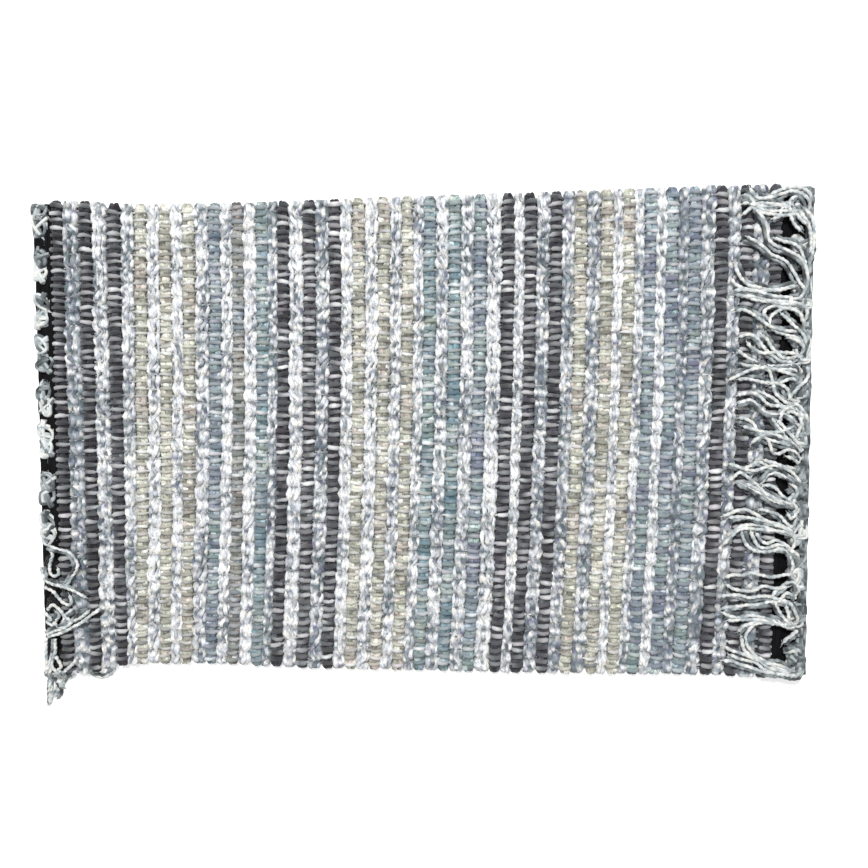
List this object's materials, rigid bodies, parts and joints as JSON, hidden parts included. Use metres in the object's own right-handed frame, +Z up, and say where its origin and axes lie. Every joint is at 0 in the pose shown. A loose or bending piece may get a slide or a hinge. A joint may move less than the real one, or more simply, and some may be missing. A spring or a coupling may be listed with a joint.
{
  "type": "rag rug",
  "caption": "Thick hand-woven rag rug with raised charcoal, sand and blue-grey ribs between pale wefts and a knotted warp fringe at each end, lying flat on the floor.",
  "frame": {"origin": "on the floor under the middle of the rug with its fringes", "axes": "+X along the rug to the end whose fringe is folded back over it, +Z up from the floor"},
  "size_m": [0.7952, 0.5376, 0.0176],
  "materials": {
    "rag_weave": "matt cotton rag ribs in charcoal, sand and blue-grey with pale bulky wefts between them",
    "warp_yarn": "off-white twisted cotton warp yarn, matt"
  },
  "bodies": {
    "root": {"woven_field": "rag_weave", "fringe_right": "warp_yarn", "fringe_left": "warp_yarn"}
  },
  "joints": []
}
